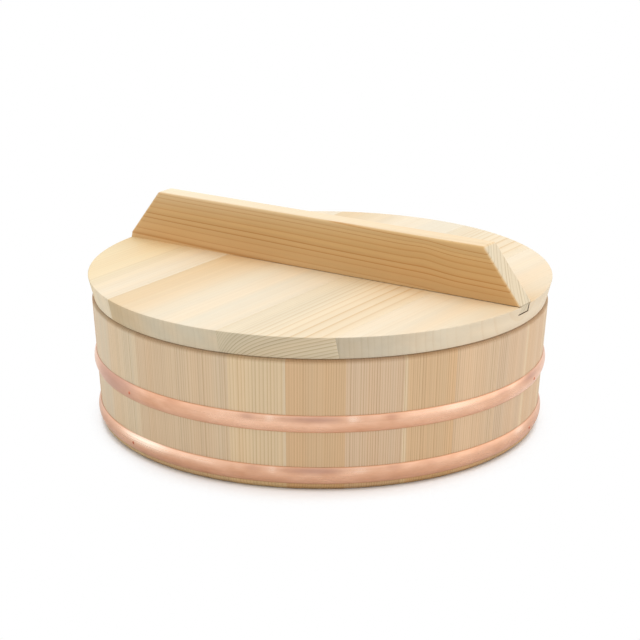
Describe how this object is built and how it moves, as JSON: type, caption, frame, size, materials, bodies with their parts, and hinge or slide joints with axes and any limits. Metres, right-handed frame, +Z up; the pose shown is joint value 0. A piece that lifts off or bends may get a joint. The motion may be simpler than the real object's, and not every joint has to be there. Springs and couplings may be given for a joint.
{
  "type": "lidded wooden rice tub",
  "caption": "Low round tub of upright wooden staves held by two domed copper hoops, with a raised board bottom and a flat board lid that carries one long dovetailed batten grip.",
  "frame": {"origin": "centre of the circle of stave ends that the tub stands on, on the table", "axes": "+Z up along the tub's axis and the way the lid lifts; the lid's grip batten runs along X; the lid's and the bottom's boards run along Y"},
  "size_m": [0.3352, 0.3352, 0.1478],
  "materials": {
    "stave_wood": "planed bare quarter-sawn conifer, matt",
    "bottom_wood": "planed bare conifer, matt",
    "lid_wood": "planed bare pale conifer, matt",
    "handle_wood": "planed bare conifer, matt to silky",
    "bamboo": "split and shaved bamboo",
    "hoop_copper": "satin copper",
    "nail_copper": "satin copper"
  },
  "bodies": {
    "tub": {"stave_01": "stave_wood", "stave_02": "stave_wood", "stave_03": "stave_wood", "stave_04": "stave_wood", "stave_05": "stave_wood", "stave_06": "stave_wood", "stave_07": "stave_wood", "stave_08": "stave_wood", "stave_09": "stave_wood", "stave_10": "stave_wood", "stave_11": "stave_wood", "stave_12": "stave_wood", "stave_13": "stave_wood", "stave_14": "stave_wood", "stave_15": "stave_wood", "stave_16": "stave_wood", "stave_17": "stave_wood", "stave_18": "stave_wood", "stave_19": "stave_wood", "stave_20": "stave_wood", "stave_21": "stave_wood", "stave_22": "stave_wood", "stave_23": "stave_wood", "stave_24": "stave_wood", "stave_25": "stave_wood", "stave_26": "stave_wood", "stave_pegs": "bamboo", "bottom_board_1": "bottom_wood", "bottom_board_2": "bottom_wood", "bottom_board_3": "bottom_wood", "bottom_board_4": "bottom_wood", "bottom_pegs": "bamboo", "upper_hoop": "hoop_copper", "lower_hoop": "hoop_copper", "upper_hoop_nails": "nail_copper", "lower_hoop_nails": "nail_copper"},
    "lid": {"lid_board_1": "lid_wood", "lid_board_2": "lid_wood", "lid_board_3": "lid_wood", "lid_board_4": "lid_wood", "lid_pegs": "bamboo", "lid_handle": "handle_wood"}
  },
  "joints": [
    {"name": "lid_lift", "type": "slide", "parent": "tub", "child": "lid", "axis": [0, 0, 1], "range_m": [0, 0.15]}
  ]
}
